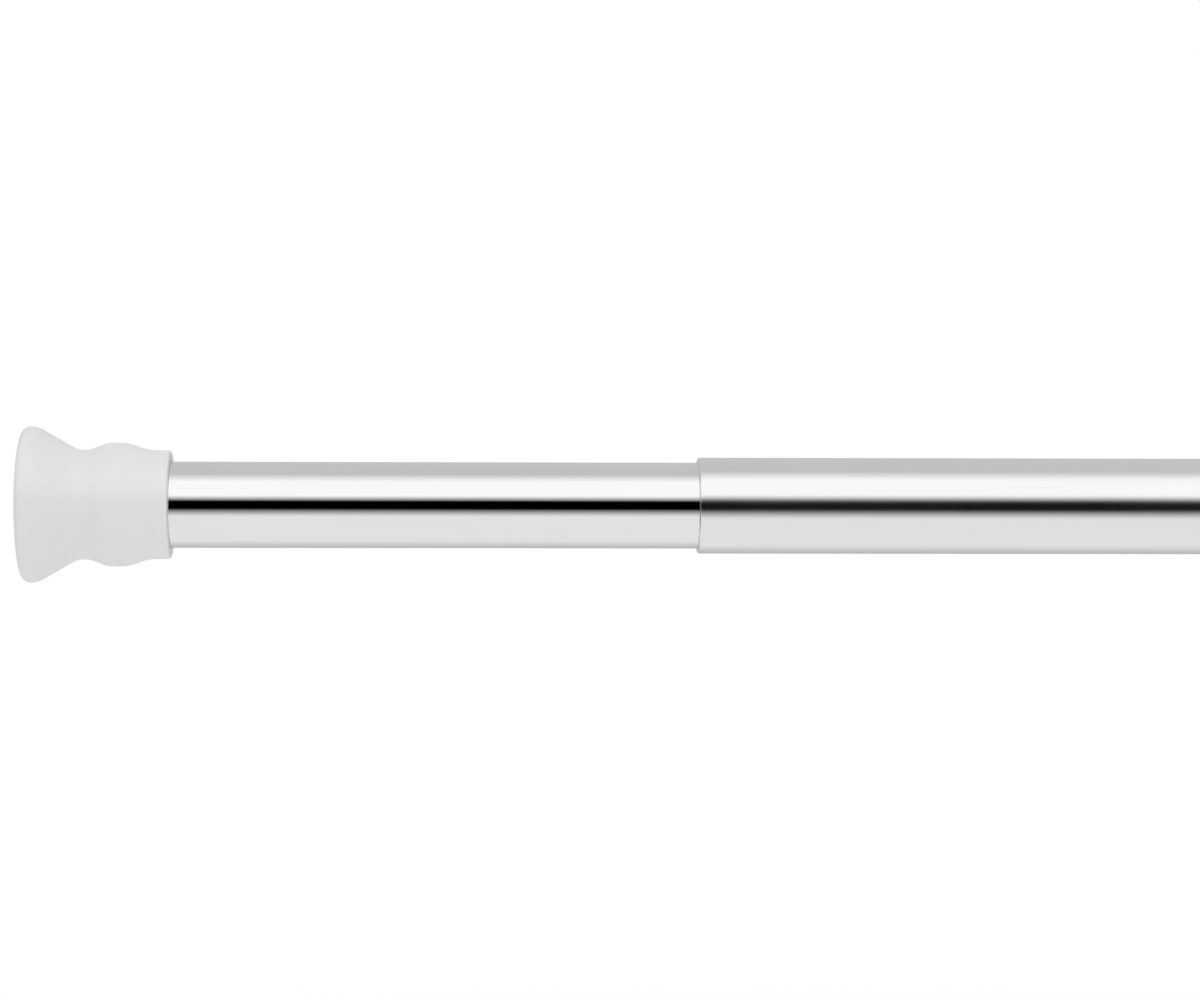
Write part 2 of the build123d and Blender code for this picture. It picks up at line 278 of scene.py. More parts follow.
# ---------------------------------------------------------------- nodes
def add(tree, kind, inputs=None, output=0, stops=(), **settings):
    """Adds a node and gives one of its outputs. Settings are the node's properties, each input goes
    to the socket of that identifier and is a number, a colour or another node's output, and stops
    are the (position, level) pairs of a ramp."""
    made = tree.nodes.new(kind)
    for name, value in settings.items():
        setattr(made, name, value)
    sockets = {socket.identifier: socket for socket in made.inputs}
    for name, value in (inputs or {}).items():
        if isinstance(value, bpy.types.NodeSocket):
            tree.links.new(value, sockets[name])
        else:
            sockets[name].default_value = value
    for number, (position, level) in enumerate(stops):
        elements = made.color_ramp.elements
        element = elements[number] if number < 2 else elements.new(position)
        element.position, element.color = position, (level, level, level, 1.0)
    return made.outputs[output] if made.outputs else None


def shade(shown, factor):
    """A colour made lighter or darker by a factor, as a node's four numbers."""
    return (*(min(1.0, c * factor) for c in shown), 1.0)


def clouds(tree, size, detail, low=0.0, high=1.0, start=0.25, end=0.75, kind="Object"):
    """A cloudy value with features of size = (x, y, z) millimetres on the piece. It goes from low
    to high while the noise goes from start to end, and stops at both."""
    place = add(tree, "ShaderNodeTexCoord", output=kind)
    scale = tuple(1 / (MM * s) for s in size)
    stretched = add(tree, "ShaderNodeMapping", {"Vector": place, "Scale": scale})
    noise = add(
        tree,
        "ShaderNodeTexNoise",
        {"Vector": stretched, "Scale": 1.0, "Detail": detail, "Roughness": 0.55},
    )
    spread = {"From Min": start, "From Max": end, "To Min": low, "To Max": high}
    return add(tree, "ShaderNodeMapRange", {"Value": noise, **spread})


def empty_material(name):
    """A new material with no nodes, and its tree."""
    material = bpy.data.materials.new(name)
    material.use_nodes = True
    material.node_tree.nodes.clear()
    return material, material.node_tree


# ---------------------------------------------------------------- materials
def chrome_plated_steel(name, base, polish):
    """Decorative chromium on drawn and polished steel tube.

    The plating is a mirror. What shows up close is a fine haze of lengthwise polishing lines, a
    slight waviness from drawing, and cloudy patches where it was wiped."""
    material, tree = empty_material(name)
    # A real polishing line is some 0.02 mm wide. These are drawn 0.35 mm wide, to show at all.
    line = ((90, 0.35, 0.35), 4)
    wiped = ((38, 9, 9), 4)
    drawn = ((60, 7, 7), 1)
    tint = add(
        tree,
        "ShaderNodeMix",
        {
            "Factor_Float": clouds(tree, *wiped),
            "A_Color": shade(base, 0.975),
            "B_Color": shade(base, 1),
        },
        output=2,
        data_type="RGBA",
    )
    tint = add(
        tree,
        "ShaderNodeMix",
        {
            "Factor_Float": clouds(tree, *line, 0, 0.5, 0.5, 0.8),
            "A_Color": tint,
            "B_Color": shade(base, 0.955),
        },
        output=2,
        data_type="RGBA",
    )
    scuffed = add(
        tree,
        "ShaderNodeMath",
        {
            "Value": clouds(tree, *wiped, 0.88 * polish, 1.1 * polish),
            "Value_001": clouds(tree, *line, 0, 0.25 * polish, 0.55, 0.8),
        },
        operation="ADD",
    )
    wavy = add(
        tree,
        "ShaderNodeBump",
        {"Height": clouds(tree, *drawn, start=0, end=1), "Distance": 0.012 * MM},
    )
    lined = add(
        tree,
        "ShaderNodeBump",
        {
            "Height": clouds(tree, *line, start=0, end=1),
            "Distance": 0.00012 * MM,
            "Normal": wavy,
        },
    )
    plating = add(
        tree,
        "ShaderNodeBsdfPrincipled",
        {"Base Color": tint, "Metallic": 1.0, "Roughness": scuffed, "Normal": lined},
    )
    add(tree, "ShaderNodeOutputMaterial", {"Surface": plating})
    return material


def moulded_rubber(name, base, rough):
    """Light filled rubber, compression moulded.

    It has a satin skin, a little uneven in tone, with the fine grain of the mould's blasted wall
    and a few rubbed, shinier patches."""
    material, tree = empty_material(name)
    # The mould's grain is some 0.1 mm, drawn at 0.45 mm to show.
    grain = ((0.45, 0.45, 0.45), 2)
    tone = add(
        tree,
        "ShaderNodeMix",
        {
            "Factor_Float": clouds(tree, (16, 16, 16), 3),
            "A_Color": shade(base, 0.965),
            "B_Color": shade(base, 1),
        },
        output=2,
        data_type="RGBA",
    )
    tone = add(
        tree,
        "ShaderNodeMix",
        {
            "Factor_Float": clouds(tree, *grain, 0, 0.6, 0.5, 0.8),
            "A_Color": tone,
            "B_Color": shade(base, 0.95),
        },
        output=2,
        data_type="RGBA",
    )
    swell = add(
        tree,
        "ShaderNodeBump",
        {"Height": clouds(tree, (5, 5, 5), 2, start=0, end=1), "Distance": 0.05 * MM},
    )
    grained = add(
        tree,
        "ShaderNodeBump",
        {"Height": clouds(tree, *grain, start=0, end=1), "Distance": 0.012 * MM, "Normal": swell},
    )
    skin = add(
        tree,
        "ShaderNodeBsdfPrincipled",
        {
            "Base Color": tone,
            "Roughness": clouds(tree, (7, 7, 7), 2, rough - 0.07, rough + 0.08),
            "IOR": 1.52,
            "Subsurface Weight": 0.12,
            "Subsurface Scale": 0.002,
            "Subsurface Radius": (1.0, 0.95, 0.9),
            "Normal": grained,
        },
    )
    add(tree, "ShaderNodeOutputMaterial", {"Surface": skin})
    return material


def moulded_plastic(name, base, rough, ior, glow):
    """Injection moulded plastic: smooth and waxy, with faint flow marks and a fine sparked
    texture."""
    material, tree = empty_material(name)
    flow = ((12, 4, 4), 3)
    # The sparked texture is some 0.05 mm, drawn at 0.3 mm to show.
    spark = ((0.3, 0.3, 0.3), 2)
    tone = add(
        tree,
        "ShaderNodeMix",
        {
            "Factor_Float": clouds(tree, *flow),
            "A_Color": shade(base, 0.93),
            "B_Color": shade(base, 1),
        },
        output=2,
        data_type="RGBA",
    )
    flowed = add(
        tree,
        "ShaderNodeBump",
        {"Height": clouds(tree, *flow, start=0, end=1), "Distance": 0.02 * MM},
    )
    sparked = add(
        tree,
        "ShaderNodeBump",
        {"Height": clouds(tree, *spark, start=0, end=1), "Distance": 0.008 * MM, "Normal": flowed},
    )
    skin = add(
        tree,
        "ShaderNodeBsdfPrincipled",
        {
            "Base Color": tone,
            "Roughness": clouds(tree, *spark, rough - 0.06, rough + 0.08),
            "IOR": ior,
            "Subsurface Weight": glow,
            "Subsurface Scale": 0.0015,
            "Subsurface Radius": (1.0, 0.9, 0.8),
            "Normal": sparked,
        },
    )
    add(tree, "ShaderNodeOutputMaterial", {"Surface": skin})
    return material


def bare_metal(name, first, second, patches, lines, depth, rough, kind="Object"):
    """A worked metal: cloudy patches of two colours, and fine tool or die lines in relief.

    Patches and lines are each (size in millimetres, detail), depth is the lines' in millimetres,
    and rough is the roughness from patch to patch."""
    material, tree = empty_material(name)
    tone = add(
        tree,
        "ShaderNodeMix",
        {"Factor_Float": clouds(tree, *patches), "A_Color": first, "B_Color": second},
        output=2,
        data_type="RGBA",
    )
    lined = add(
        tree,
        "ShaderNodeBump",
        {"Height": clouds(tree, *lines, start=0, end=1, kind=kind), "Distance": depth * MM},
    )
    metal = add(
        tree,
        "ShaderNodeBsdfPrincipled",
        {
            "Base Color": tone,
            "Metallic": 1.0,
            "Roughness": clouds(tree, *patches, *rough),
            "Normal": lined,
        },
    )
    add(tree, "ShaderNodeOutputMaterial", {"Surface": metal})
    return material


def turned_brass(name, base):
    """Free-cutting brass from the lathe: rings of the tool's feed and a light, warm tarnish."""
    # The feed is some 0.1 mm a turn, drawn at 0.35 mm to show.
    feed = ((0.35, 60, 60), 2)
    return bare_metal(
        name, shade(base, 1), shade(base, 0.72), ((4, 4, 4), 4), feed, 0.004, (0.2, 0.38)
    )


def zinc_plated_steel(name, base):
    """Bright zinc on turned and pressed steel: bluish, with warm cloudy passivation and tool
    lines."""
    warm = (base[0], 0.96 * base[1], 0.88 * base[2])
    # The tool's lines are some 0.1 mm apart, drawn at 0.3 mm to show.
    tool = ((0.3, 8, 8), 2)
    return bare_metal(
        name, shade(base, 1), shade(warm, 1), ((5, 5, 5), 4), tool, 0.003, (0.24, 0.4)
    )


def oiled_spring_wire(name, base):
    """Hard-drawn spring wire, stress relieved and oiled: straw to grey, with die lines along it.

    The lines follow the wire by the piece's own UV map, in metres along it and round it."""
    straw = (1.08 * base[0], 0.985 * base[1], 0.85 * base[2])
    # A die line is some 0.05 mm wide, drawn at 0.25 mm to show.
    die = ((30, 0.25, 1), 3)
    return bare_metal(
        name, shade(base, 1), shade(straw, 1), ((14, 14, 14), 3), die, 0.004, (0.26, 0.4), "UV"
    )


def dress(material, *nodes):
    """Gives carried-over CAD nodes this material."""
    for node in nodes:
        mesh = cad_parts[node].data
        mesh.materials.clear()
        mesh.materials.append(material)


def place(piece, body, material, slot, *nodes):
    """The new piece rides on a body, stands for CAD nodes and takes the material. The slot is not
    used.
    """
    piece.data.materials.append(material)
    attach(piece, body)
    if nodes:
        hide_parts(*nodes)


# ---------------------------------------------------------------- feet
FOOT_FLOOR = 12.5  # rubber under the end plug
FOOT_FIT = 0.04  # radial gap to the tube
LIP_ROUND = 2.5  # at the edge of the contact face
WAIST = (17.9, 6.75)  # place along the foot, and how far inside the flare's radius
CREST = (26.3, 28.3, 4.7)  # start and end of its level top, and the same drop
COLLAR = (38.8, 6.85)
COLLAR_EDGE = 0.8
FLARE_STEEPNESS, WAVE_STEEPNESS = 1.26, 1.62
GRIP_GROOVES = (4.0, 8.6, 13.2)  # middle radius of each
GRIP_GROOVE_WIDTH, GRIP_GROOVE_DEPTH = 3.0, 1.0
BEAD_PLACE, BEAD_WIDTH = 0.3, 0.14  # the parting line, behind the lip's round
FACE_POINTS = 170
OUTSIDE_STEP, BORE_STEP = 0.6, 2  # longest step along the outline


def foot_outline(foot_length, flare, bore, shape):
    """The foot's half section, from the middle of its contact face out and round to the bore's
    floor.

    Across the face, the depth is a sum of smooth grooves. The outside is a quarter round, an S bend
    down the flare to the waist, one up to the crest, a level top, one down to the collar, and a
    small round at the collar's end. The parting line adds a narrow Gaussian bead at the flare's
    edge."""
    face = np.linspace(0, flare - LIP_ROUND, FACE_POINTS)
    depth = np.zeros_like(face)
    for middle in GRIP_GROOVES:
        side = GRIP_GROOVE_WIDTH / 2 - np.abs(face - middle)
        share = np.clip(side / (shape.groove_flank / MM), 0, 1)
        depth += GRIP_GROOVE_DEPTH * share * share * (3 - 2 * share)
    collar = flare - COLLAR[1]
    inner = shape.bore_round / MM
    outside = np.concatenate(
        (
            arc((LIP_ROUND, flare - LIP_ROUND), LIP_ROUND, 180, 90, 20),
            s_bend((LIP_ROUND, flare), (WAIST[0], flare - WAIST[1]), FLARE_STEEPNESS),
            s_bend((WAIST[0], flare - WAIST[1]), (CREST[0], flare - CREST[2]), WAVE_STEEPNESS),
            s_bend((CREST[1], flare - CREST[2]), (COLLAR[0], collar), WAVE_STEEPNESS),
            arc((foot_length - COLLAR_EDGE, collar - COLLAR_EDGE), COLLAR_EDGE, 90, 0, 12),
            arc((foot_length - inner, bore + inner), inner, 0, -90, 8),
        )
    )
    moved = np.r_[True, np.any(np.diff(outside, axis=0) != 0, axis=1)]
    outside = spaced(outside[moved], OUTSIDE_STEP)
    bead = np.exp(-(((outside[:, 0] - LIP_ROUND - BEAD_PLACE) / BEAD_WIDTH) ** 2))
    outside[:, 1] += shape.lip_bead / MM * bead * (outside[:, 1] > collar + 1)
    hole = np.array([(foot_length - inner, bore), (FOOT_FLOOR, bore), (FOOT_FLOOR, 0)])
    hole = spaced(hole, BORE_STEP)
    return np.concatenate((np.stack((depth, face), -1), outside[1:], hole[1:]))


class TENSION_ROD_OT_feet(Operator):
    """Models both rubber feet, with their grip grooves and parting line"""

    bl_idname = "tension_rod.feet"
    bl_label = "Rubber feet"

    def execute(self, context):
        shape, finish = context.scene.rod_shape, context.scene.rod_finish
        rubber = moulded_rubber("light moulded rubber", finish.rubber, finish.rubber_roughness)
        rod_length = reach("right_foot")[1]
        sides = (("left", "inner"), ("right", "outer"))
        for side, tube in sides:
            start, end, flare = reach(f"{side}_foot")
            bore = reach(f"{tube}_tube")[2] + FOOT_FIT
            points = turned(foot_outline(end - start, flare, bore, shape), shape.around)
            if side == "right":
                # Half a turn about the vertical puts the same foot at the other end.
                points = points * (-1, -1, 1) + (rod_length, 0, 0)
            foot, _ = surface(f"rubber_foot_{side}", points)
            place(foot, f"{tube}_assembly", rubber, "foot_rubber", f"{side}_foot")
        return {"FINISHED"}


# ---------------------------------------------------------------- tubes
TUBE_WALL = 0.7
MOUTH_BEND = 0.1  # inside radius where the outer tube's wall is pressed in
MOUTH_FIT = 0.1  # radial gap from the mouth to the inner tube
MOUTH_EDGE = 0.1  # rounding of the mouth's own edges
HOLE_RADIUS = 1.5  # for the stop pin and the bush rivets
EDGE_POINTS, MOUTH_POINTS, BEND_POINTS = 6, 5, 20  # along each rounding
ROW_STEP = 10.0  # between rings of points along a plain tube
HOLE_RING = 5  # ring of grid points that becomes a hole's edge
BLOCK_RING = 8  # ring of grid points where the plain grid starts again


def pierced_tube(name, start, end, outside, edge, holes, columns):
    """A tube with rounded ends and round holes.

    Both walls are grids over x and the turn t. Round each hole a square block of points is drawn
    in: ring HOLE_RING of the block becomes the circle dx = r cos a, t = arcsin(r sin a / wall
    radius), ring BLOCK_RING stays as it was, and the rings between go over evenly. The faces inside
    the circle go, and a ring of faces joins the two walls."""
    inside = outside - TUBE_WALL
    step = 2 * pi * outside / columns
    block = np.arange(-BLOCK_RING, BLOCK_RING + 1)
    plain = np.linspace(start + edge, end - edge, int((end - start) / ROW_STEP) + 1)
    places = sorted({x for x, _, _ in holes})
    for x in places:
        plain = plain[np.abs(plain - x) > (BLOCK_RING + 0.5) * step]
    lines = np.sort(np.concatenate([plain, *[x + block * step for x in places]]))

    turn = np.arange(columns) * 2 * pi / columns
    row_count = len(lines)
    walls = []
    for radius in (outside, inside):
        x = np.repeat(lines[:, None], columns, axis=1)
        t = np.repeat(turn[None], row_count, axis=0)
        for middle, angle, hole in holes:
            rows = np.searchsorted(lines, middle - 0.5 * step) + block
            first = round(angle / 360 * columns)
            cells = np.ix_(rows, (first + block) % columns)
            i, j = block[:, None], block[None]
            ring = np.maximum(np.abs(i), np.abs(j))
            share = np.clip((ring - HOLE_RING) / (BLOCK_RING - HOLE_RING), 0, 1)
            way = np.arctan2(j, i)
            x[cells] = middle + (1 - share) * hole * np.cos(way) + share * i * step
            bent = np.arcsin(hole * np.sin(way) / radius)
            t[cells] = radians(angle) + (1 - share) * bent + share * j * 2 * pi / columns
        walls.append(np.stack((x, radius * np.cos(t), radius * np.sin(t)), axis=-1))
    ends = [
        turned(arc((end - edge, outside - edge), edge, 90, 0, EDGE_POINTS)[1:], columns),
        turned(arc((end - edge, inside + edge), edge, 0, -90, EDGE_POINTS)[:-1], columns),
        turned(arc((start + edge, inside + edge), edge, 270, 180, EDGE_POINTS)[1:], columns),
        turned(arc((start + edge, outside - edge), edge, 180, 90, EDGE_POINTS)[:-1], columns),
    ]
    points = np.concatenate((walls[0], *ends[:2], walls[1][::-1], *ends[2:]))
    index = np.arange(points.shape[0] * columns).reshape(-1, columns)
    behind = index[row_count + len(ends[0]) + len(ends[1]) :][:row_count][::-1]
    quads = grid_faces(index, True)[0]

    side = np.arange(-HOLE_RING, HOLE_RING)
    steps = np.repeat(HOLE_RING, 2 * HOLE_RING)
    rim_rows = np.concatenate((side, steps, -side, -steps))
    rim_columns = np.concatenate((-steps, side, steps, -side))
    rims = []
    for middle, angle, _ in holes:
        row = np.searchsorted(lines, middle - 0.5 * step)
        column = round(angle / 360 * columns)
        gone = []
        for wall, rows in ((index, row + side), (behind, row + side + 1)):
            gone.append(wall[np.ix_(rows, (column + side) % columns)].ravel())
        quads = quads[~np.isin(quads[:, 0], np.concatenate(gone))]
        over = index[row + rim_rows, (column + rim_columns) % columns]
        under = behind[row + rim_rows, (column + rim_columns) % columns]
        rims.append(np.stack((over, under, np.roll(under, -1), np.roll(over, -1)), axis=-1))
    return put_mesh(name, points.reshape(-1, 3) * MM, [quads, *rims])[0]


def pressed_tube_outline(start, end, outside, mouth, edge):
    """The outer tube's half section: its mouth is pressed in through a tight quarter turn and then
    stands square to the rod, and its far end is cut square with rounded edges."""
    inside = outside - TUBE_WALL
    bend = MOUTH_BEND + TUBE_WALL
    cut = MOUTH_EDGE
    return spaced(
        np.concatenate(
            (
                arc((start + cut, mouth + cut), cut, 270, 180, MOUTH_POINTS),
                arc((start + bend, outside - bend), bend, 180, 90, BEND_POINTS),
                arc((end - edge, outside - edge), edge, 90, 0, EDGE_POINTS),
                arc((end - edge, inside + edge), edge, 0, -90, EDGE_POINTS),
                arc((start + bend, outside - bend), MOUTH_BEND, 90, 180, MOUTH_POINTS),
                arc((start + TUBE_WALL - cut, mouth + cut), cut, 0, -90, MOUTH_POINTS),
            )
        ),
        ROW_STEP,
    )


class TENSION_ROD_OT_tubes(Operator):
    """Models the two chromed tubes, with the pressed-in mouth and the holes for pins and rivets"""

    bl_idname = "tension_rod.tubes"
    bl_label = "Chromed tubes"

    def execute(self, context):
        shape, finish = context.scene.rod_shape, context.scene.rod_finish
        edge = shape.edge_round / MM

        start, end, outside = reach("inner_tube")
        pin_low, pin_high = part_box("stop_pin")
        pin = (pin_low.x + pin_high.x) / 2 / MM
        rivet_low, rivet_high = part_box("bush_rivets")
        rivet = (rivet_low.x + rivet_high.x) / 2 / MM
        places = ((pin, 90), (pin, 270), (rivet, 0), (rivet, 180))
        holes = [(x, angle, HOLE_RADIUS) for x, angle in places]
        inner = pierced_tube("chrome_tube_inner", start, end, outside, edge, holes, shape.around)
        chrome = chrome_plated_steel(
            "chromed drawn steel, bright", finish.chrome, finish.chrome_inner
        )
        place(inner, "inner_assembly", chrome, "inner_tube_chrome", "inner_tube")

        mouth = outside + MOUTH_FIT
        start, end, outside = reach("outer_tube")
        outline = pressed_tube_outline(start, end, outside, mouth, edge)
        outer, _ = surface("chrome_tube_outer", turned(outline, shape.around), closed=True)
        chrome = chrome_plated_steel(
            "chromed drawn steel, handled", finish.chrome, finish.chrome_outer
        )
        place(outer, "outer_assembly", chrome, "outer_tube_chrome", "outer_tube")
        return {"FINISHED"}


# ---------------------------------------------------------------- spring
WIRE_RADIUS = 1.1
SPRING_TURNS = 13
WIRE_COLUMNS = 18
ROWS_PER_TURN = 90
CAP_RINGS = 5  # rings in the half sphere at each end of the wire
SEAT_GAP, TURN_GAP = 0.05, 0.04  # wire to washer, and between closed turns


class TENSION_ROD_OT_spring(Operator):
    """Winds the compression spring with its end turns closed"""

    bl_idname = "tension_rod.spring"
    bl_label = "Compression spring"

    def execute(self, context):
        shape, finish = context.scene.rod_shape, context.scene.rod_finish
        start = reach("seat_washer")[1]
        end = reach("thrust_washer")[0]
        middle_radius = reach("compression_spring")[2] - WIRE_RADIUS
        inset = WIRE_RADIUS + SEAT_GAP

        # The helix: the turn grows evenly, and x grows by the pitch, which is one wire at the
        # ends and rises smoothly to the open pitch inside the closed turns.
        turns = np.linspace(0, SPRING_TURNS, SPRING_TURNS * ROWS_PER_TURN + 1)
        from_end = np.minimum(turns, SPRING_TURNS - turns)
        share = np.clip(from_end - shape.closed_turns + 0.5, 0, 1)
        share = share * share * (3 - 2 * share)
        closed, room = 2 * WIRE_RADIUS + TURN_GAP, end - start - 2 * inset
        step = turns[1]
        closed_length = ((1 - share[:-1]) * closed * step).sum()
        open_pitch = (room - closed_length) / (share[:-1] * step).sum()
        pitch = closed + (open_pitch - closed) * share
        x = start + inset + np.concatenate(([0], np.cumsum(pitch[:-1] * step)))
        angle = 2 * pi * turns
        out = np.stack((0 * angle, np.cos(angle), np.sin(angle)), axis=-1)
        centre = out * middle_radius + np.stack((x, 0 * x, 0 * x), axis=-1)
        along = np.gradient(centre, axis=0)
        along /= np.linalg.norm(along, axis=1)[:, None]

        # Each end closes with a half sphere: rings that shrink by a cosine and move on by a sine.
        cap = np.linspace(pi / 2, 0, CAP_RINGS + 1)[:-1]
        last = len(x) - 1
        rows = np.r_[np.zeros(CAP_RINGS, int), np.arange(len(x)), np.full(CAP_RINGS, last)]
        shift = np.r_[-np.sin(cap), np.zeros(len(x)), np.sin(cap[::-1])] * WIRE_RADIUS
        width = np.r_[np.cos(cap), np.ones(len(x)), np.cos(cap[::-1])] * WIRE_RADIUS
        width[[0, -1]] = 0
        round_wire = np.arange(WIRE_COLUMNS) * 2 * pi / WIRE_COLUMNS
        beside = np.cross(along, out)
        ring = (
            np.cos(round_wire)[None, :, None] * out[rows][:, None]
            + np.sin(round_wire)[None, :, None] * beside[rows][:, None]
        )
        points = (
            (centre[rows] + along[rows] * shift[:, None])[:, None] + ring * width[:, None, None]
        )
        spring, used = surface("wound_spring", points)
        wire_length = np.linalg.norm(np.diff(centre[rows], axis=0), axis=1)
        run = np.concatenate(([0], np.cumsum(wire_length))) + shift
        around = np.minimum(round_wire, 2 * pi - round_wire) * WIRE_RADIUS
        uv = np.stack(np.broadcast_arrays(run[:, None], around[None]), axis=-1) * MM
        corner = np.zeros(len(spring.data.loops), np.int32)
        spring.data.loops.foreach_get("vertex_index", corner)
        layer = spring.data.uv_layers.new(name="wire")
        layer.uv.foreach_set(
            "vector", uv.reshape(-1, 2)[used][corner].astype(np.float32).ravel()
        )
        steel = oiled_spring_wire("oiled spring wire", finish.spring_steel)
        place(spring, "inner_assembly", steel, "spring_steel", "compression_spring")
        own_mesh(spring)
        return {"FINISHED"}


# ---------------------------------------------------------------- spindle
THREAD_PITCH = 1.25
THREAD_FLAT = 0.1  # share of the ridge's height cut off at top and bottom
ROWS_PER_PITCH = 12
JOURNAL_STEP, STUB_STEP = 0.5, 1.5  # under the hexagon's flats
SPINDLE_CHAMFER = 0.6
CLIP_GROOVE_DEPTH, CLIP_GROOVE_PLAY = 0.8, 0.04
SPINDLE_COLUMNS = 120


def threaded_rod(start, end, radius, turn, thread_start, thread_end, depth):
    """Rows of (x, radius) round a rod with a screw thread.

    The ridge's phase is x over the pitch less the turn, and its height is a triangle wave cut flat
    at top and bottom. The groove between ridges runs out over one pitch at each end of the
    thread."""
    rows = int((end - start) / THREAD_PITCH * ROWS_PER_PITCH) + 2
    x = np.linspace(start, end, rows)[:, None]
    phase = (x / THREAD_PITCH - turn[None] / (2 * pi)) % 1
    wave = 1 - np.abs(2 * phase - 1)
    ridge = np.clip((wave - THREAD_FLAT) / (1 - 2 * THREAD_FLAT), 0, 1)
    run_out = np.minimum(x - thread_start, thread_end - x) / THREAD_PITCH
    return x + 0 * turn, radius - depth * (1 - ridge) * np.clip(run_out, 0, 1)


def plain_rod(start, end, radius, turn):
    """Two rows of (x, radius) round a plain length. The radius may differ from turn to turn."""
    return np.array([[start], [end]]) + 0 * turn, np.stack((radius + 0 * turn,) * 2)


class TENSION_ROD_OT_spindle(Operator):
    """Models the spindle: a threaded stub, a hexagon, a clip groove and a threaded journal"""

    bl_idname = "tension_rod.spindle"
    bl_label = "Spindle"

    def execute(self, context):
        shape, finish = context.scene.rod_shape, context.scene.rod_finish
        depth = shape.thread_depth / MM
        start, end, flat = reach("spindle")
        stub, journal = flat - STUB_STEP, flat - JOURNAL_STEP
        hex_start, hex_end = reach("thrust_washer")[1], reach("collar_washer")[0]
        nut_end = reach("spindle_nut")[1]
        clip_start, clip_end, _ = reach("retaining_clip")
        groove = (clip_start - CLIP_GROOVE_PLAY, clip_end + CLIP_GROOVE_PLAY)
        turn = np.arange(SPINDLE_COLUMNS) * 2 * pi / SPINDLE_COLUMNS

        # The hexagon's radius is the flat's over the cosine of the turn from the middle of the
        # flat. A corner is at the back, and one every sixth of a turn from there.
        hexagon = flat / np.cos(turn % (pi / 3) - pi / 6)
        parts = (
            threaded_rod(start, hex_start, stub, turn, start - THREAD_PITCH, nut_end, depth),
            plain_rod(hex_start, hex_end, hexagon, turn),
            plain_rod(hex_end, groove[0], journal, turn),
            plain_rod(*groove, journal - CLIP_GROOVE_DEPTH, turn),
            threaded_rod(
                groove[1], end, journal, turn, groove[1] + THREAD_PITCH, end + THREAD_PITCH, depth
            ),
        )
        x = np.concatenate([part[0] for part in parts])
        radius = np.concatenate([part[1] for part in parts])

        # Both tips are cut back at 45 degrees, and each closes in a point on the axis.
        tip = np.where(x < hex_start, stub + x - start, journal + end - x) - SPINDLE_CHAMFER
        radius = np.minimum(radius, np.where((x < hex_start) | (x > hex_end), tip, radius))
        points = np.stack((x, radius * np.cos(turn), radius * np.sin(turn)), axis=-1)
        poles = [np.broadcast_to((at, 0.0, 0.0), (1, SPINDLE_COLUMNS, 3)) for at in (start, end)]
        spindle, _ = surface("threaded_spindle", np.concatenate((poles[0], points, poles[1])))
        zinc = zinc_plated_steel("zinc-plated steel bar", finish.zinc)
        place(spindle, "spindle", zinc, "steel", "spindle")
        return {"FINISHED"}


# ---------------------------------------------------------------- carried-over nodes
class TENSION_ROD_OT_plastics(Operator):
    """Finishes the moulded plugs, stop, bush, liner and expander"""

    bl_idname = "tension_rod.plastics"
    bl_label = "Plastic pieces"

    def execute(self, context):
        finish = context.scene.rod_finish
        plug = moulded_plastic("natural polyethylene", finish.polyethylene, 0.42, 1.51, 0.2)
        dress(plug, "left_end_plug", "right_end_plug", "spring_stop")
        acetal = moulded_plastic("natural acetal", finish.acetal, 0.3, 1.48, 0.05)
        dress(acetal, "inner_tube_bush", "mouth_liner", "expander_collar")
        return {"FINISHED"}


class TENSION_ROD_OT_metals(Operator):
    """Finishes the brass cone nut and the zinc-plated nuts, washers, pins and clip"""

    bl_idname = "tension_rod.metals"
    bl_label = "Metal pieces"

    def execute(self, context):
        finish = context.scene.rod_finish
        dress(turned_brass("turned brass", finish.brass), "cone_nut")
        zinc = zinc_plated_steel("zinc-plated steel", finish.zinc)
        dress(
            zinc,
            "spindle_nut",
            "end_nut",
            "seat_washer",
            "thrust_washer",
            "collar_washer",
            "retaining_clip",
            "stop_pin",
            "bush_rivets",
        )
        return {"FINISHED"}


# ---------------------------------------------------------------- stage
# The tent's walls round the rod: each one's first and last angle in degrees about X, and its light.
# 0 is the front, 90 the top and -90 the floor's side. Between two walls the light goes over evenly.
TENT_WALLS = (
    (-180, -150, 0.6),  # back, lower half
    (-110, -30, 1.0),  # table
    (-10, 10, 0.0),  # opening at the front
    (25, 65, 1.25),  # strip light
    (90, 140, 0.7),  # top
    (170, 180, 0.6),  # back, upper half
)
# Light of its two end walls by height, from -1 at the bottom to 1 at the top. The opening runs on
# there.
TENT_END = ((-1, 0.4), (-0.25, 0.4), (-0.1, 0.05), (0.1, 0.05), (0.25, 0.8), (1, 0.8))
TENT_END_START, TENT_END_FULL = 0.74, 0.9  # cosine of the angle to the rod's axis
FRONT_LIGHT_PLACE, FRONT_LIGHT_SIZE = (0, -1.23, 0.86), 1.3  # metres, from the rod's middle
FLOOR_RADIUS, FLOOR_RINGS, FLOOR_COLUMNS = 6000, 25, 96
FLOOR_FADE_START, FLOOR_FADE_END = 0.75, 2.1  # metres from the rod's middle
FLOOR_GLOW = 0.1
SENSOR_WIDTH = 36.0
NEAREST_SEEN = 0.01  # metres from the camera


